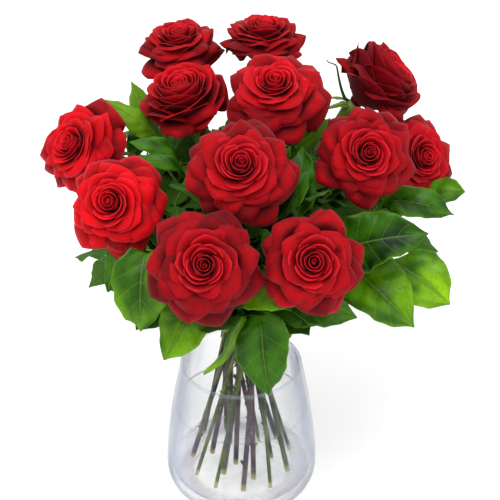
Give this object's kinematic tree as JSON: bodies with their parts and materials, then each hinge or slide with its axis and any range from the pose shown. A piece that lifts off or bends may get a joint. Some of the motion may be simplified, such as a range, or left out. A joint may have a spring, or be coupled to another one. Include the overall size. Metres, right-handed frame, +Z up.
{
  "type": "roses in a vase",
  "caption": "Hand-tied bouquet of open red roses with broad glossy green foliage, standing in a tapered clear glass vase of water.",
  "frame": {"origin": "centre of the vase's flat foot, on the surface it stands on", "axes": "+Z up along the vase's axis; -Y towards the side that the lowest blooms face"},
  "size_m": [0.383, 0.3467, 0.4344],
  "materials": {
    "glass": "gloss",
    "water": "gloss",
    "twine": "matte",
    "rose_stem": "satin",
    "branch": "matte",
    "petals": "satin",
    "leaf": "gloss"
  },
  "bodies": {
    "root": {"vase": "glass", "water": "water", "binding_tie": "twine", "rose_stem_01": "rose_stem", "rose_bloom_01": "petals", "rose_stem_02": "rose_stem", "rose_bloom_02": "petals", "rose_stem_03": "rose_stem", "rose_bloom_03": "petals", "rose_stem_04": "rose_stem", "rose_bloom_04": "petals", "rose_stem_05": "rose_stem", "rose_bloom_05": "petals", "rose_stem_06": "rose_stem", "rose_bloom_06": "petals", "rose_stem_07": "rose_stem", "rose_bloom_07": "petals", "rose_stem_08": "rose_stem", "rose_bloom_08": "petals", "rose_stem_09": "rose_stem", "rose_bloom_09": "petals", "rose_stem_10": "rose_stem", "rose_bloom_10": "petals", "rose_stem_11": "rose_stem", "rose_bloom_11": "petals", "rose_stem_12": "rose_stem", "rose_bloom_12": "petals", "branch_front_left": "branch", "branch_front": "branch", "branch_front_right": "branch", "branch_right": "branch", "branch_left": "branch", "branch_back": "branch", "leaf_01": "leaf", "leaf_02": "leaf", "leaf_03": "leaf", "leaf_04": "leaf", "leaf_05": "leaf", "leaf_06": "leaf", "leaf_07": "leaf", "leaf_08": "leaf", "leaf_09": "leaf", "leaf_10": "leaf", "leaf_11": "leaf", "leaf_12": "leaf", "leaf_13": "leaf", "leaf_14": "leaf", "leaf_15": "leaf", "leaf_16": "leaf", "leaf_17": "leaf", "leaf_18": "leaf", "leaf_19": "leaf", "leaf_20": "leaf", "leaf_21": "leaf", "leaf_22": "leaf", "leaf_23": "leaf", "leaf_24": "leaf", "leaf_25": "leaf", "leaf_26": "leaf", "leaf_27": "leaf"}
  },
  "joints": []
}
